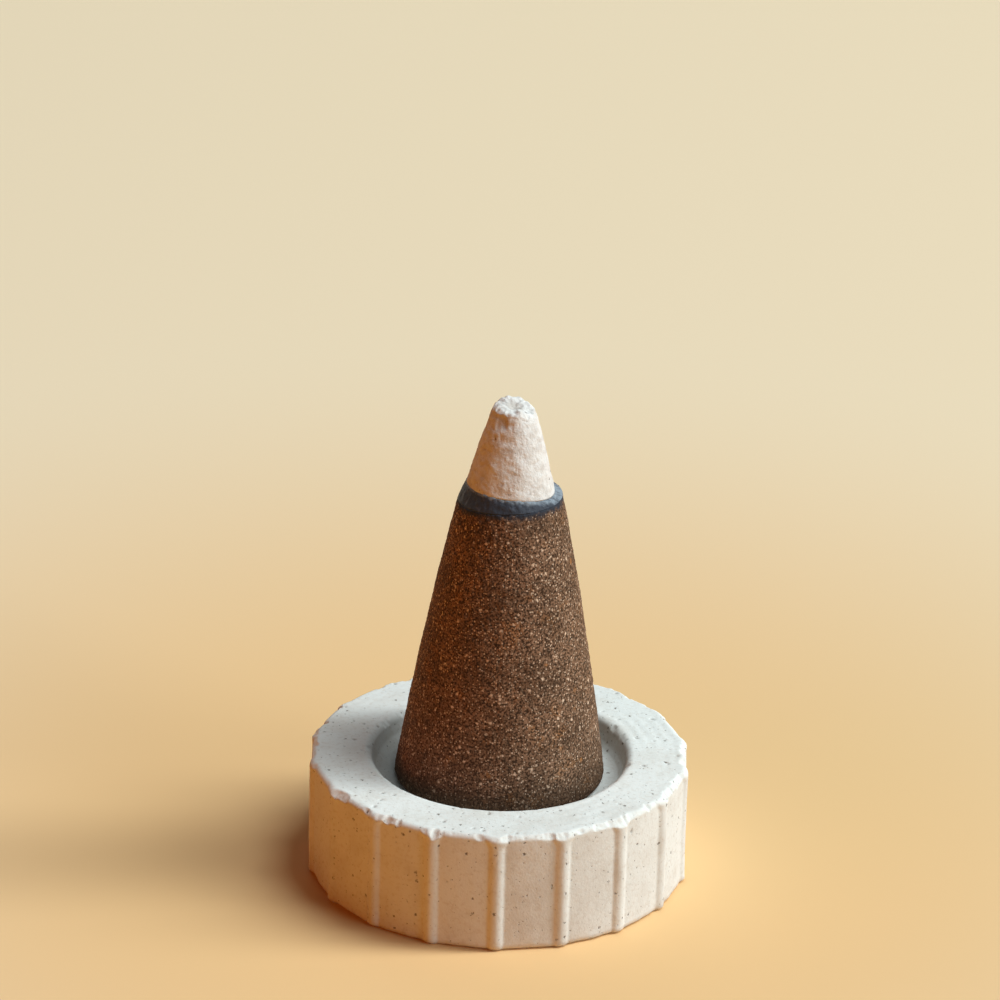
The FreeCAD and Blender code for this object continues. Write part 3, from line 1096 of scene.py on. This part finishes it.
def make_world(stage):
    """Cool dim light all round, with a plain pale backdrop where it is seen."""
    world = bpy.data.worlds.new("studio")
    world.use_nodes = True
    bpy.context.scene.world = world
    tree = world.node_tree
    background = tree.nodes["Background"]
    background.inputs["Color"].default_value = (*WORLD_TINT, 1)
    background.inputs["Strength"].default_value = stage.sky
    seen = tree.nodes.new("ShaderNodeBackground")
    seen.inputs["Color"].default_value = (*BACKDROP, 1)
    mix = tree.nodes.new("ShaderNodeMixShader")
    tree.links.new(seen_share(tree), mix.inputs["Fac"])
    tree.links.new(background.outputs["Background"], mix.inputs[1])
    tree.links.new(seen.outputs["Background"], mix.inputs[2])
    tree.links.new(mix.outputs["Shader"], tree.nodes["World Output"].inputs["Surface"])


def add_lamp(name, place, width, height, power, tint):
    """A soft rectangle of light that faces the part, its height upright."""
    lamp = bpy.data.lights.new(name, "AREA")
    lamp.shape = "RECTANGLE"
    lamp.size = width
    lamp.size_y = height
    lamp.energy = power
    lamp.color = tint
    holder = bpy.data.objects.new(name, lamp)
    bpy.context.scene.collection.objects.link(holder)
    holder.location = place
    holder.rotation_mode = "QUATERNION"
    holder.rotation_quaternion = (RIM_CENTRE - place).to_track_quat("-Z", "Y")
    holder.visible_camera = False


def make_camera(stage):
    """The camera, looking down along +Y at the photograph's angle."""
    lens = bpy.data.cameras.new("camera")
    lens.sensor_width = SENSOR
    lens.lens = stage.focal_length
    lens.clip_start = NEAR_CLIP
    camera = bpy.data.objects.new("camera", lens)
    bpy.context.scene.collection.objects.link(camera)
    level_up = Vector((0, math.sin(CAMERA_PITCH), math.cos(CAMERA_PITCH)))
    level_right = Vector((1, 0, 0))
    forward = Vector((0, math.cos(CAMERA_PITCH), -math.sin(CAMERA_PITCH)))
    right = math.cos(CAMERA_ROLL) * level_right + math.sin(CAMERA_ROLL) * level_up
    up = math.cos(CAMERA_ROLL) * level_up - math.sin(CAMERA_ROLL) * level_right
    axes = Matrix((right, up, -forward)).transposed()
    across, above, ahead = RIM_FROM_CAMERA
    place = RIM_CENTRE - across * right - above * up - ahead * forward
    camera.matrix_world = Matrix.Translation(place) @ axes.to_4x4()
    bpy.context.scene.camera = camera


class BURNER_OT_stage(bpy.types.Operator):
    """Makes the floor, the lights and the camera"""

    bl_idname = "burner.stage"
    bl_label = "Make the stage"

    def execute(self, context):
        stage = context.scene.burner_stage
        make_floor(stage)
        make_world(stage)
        add_lamp("key", KEY_PLACE, KEY_WIDTH, KEY_HEIGHT, stage.key_power, KEY_TINT)
        add_lamp("side", SIDE_PLACE, SIDE_SIZE, SIDE_SIZE, stage.side_power, KEY_TINT)
        add_lamp("back", BACK_PLACE, BACK_SIZE, BACK_SIZE, stage.back_power, BACK_TINT)
        add_lamp("fill", FILL_PLACE, FILL_SIZE, FILL_SIZE, stage.fill_power, FILL_TINT)
        make_camera(stage)
        context.scene.view_settings.view_transform = "Standard"
        return {"FINISHED"}


class BURNER_PT_panel(bpy.types.Panel):
    """Sizes, colours and makers of the incense burner's pieces"""

    bl_idname = "BURNER_PT_panel"
    bl_label = "Incense Burner"
    bl_space_type = "VIEW_3D"
    bl_region_type = "UI"
    bl_category = "Burner"

    def draw(self, context):
        for group, operators in PANEL_ROWS:
            box = self.layout.box()
            settings = getattr(context.scene, group)
            for name in settings.__annotations__:
                box.prop(settings, name)
            for operator in operators:
                box.operator(operator.bl_idname)


PANEL_ROWS = (
    ("burner_dish", (BURNER_OT_dish,)),
    ("burner_cone", (BURNER_OT_cone, BURNER_OT_char)),
    ("burner_ash", (BURNER_OT_coal, BURNER_OT_ash)),
    ("burner_stage", (BURNER_OT_stage,)),
)
SETTINGS = {
    "burner_dish": DishSettings,
    "burner_cone": ConeSettings,
    "burner_ash": AshSettings,
    "burner_stage": StageSettings,
}
OPERATORS = [operator for _, operators in PANEL_ROWS for operator in operators]
CLASSES = (*SETTINGS.values(), *OPERATORS, BURNER_PT_panel)


def register():
    for cls in CLASSES:
        bpy.utils.register_class(cls)
    for name, group in SETTINGS.items():
        setattr(bpy.types.Scene, name, PointerProperty(type=group))


def unregister():
    for name in SETTINGS:
        delattr(bpy.types.Scene, name)
    for cls in reversed(CLASSES):
        bpy.utils.unregister_class(cls)


def main():
    register()
    bpy.ops.burner.dish()
    bpy.ops.burner.cone()
    bpy.ops.burner.char()
    bpy.ops.burner.coal()
    bpy.ops.burner.ash()
    bpy.ops.burner.stage()


if __name__ == "__main__":
    main()
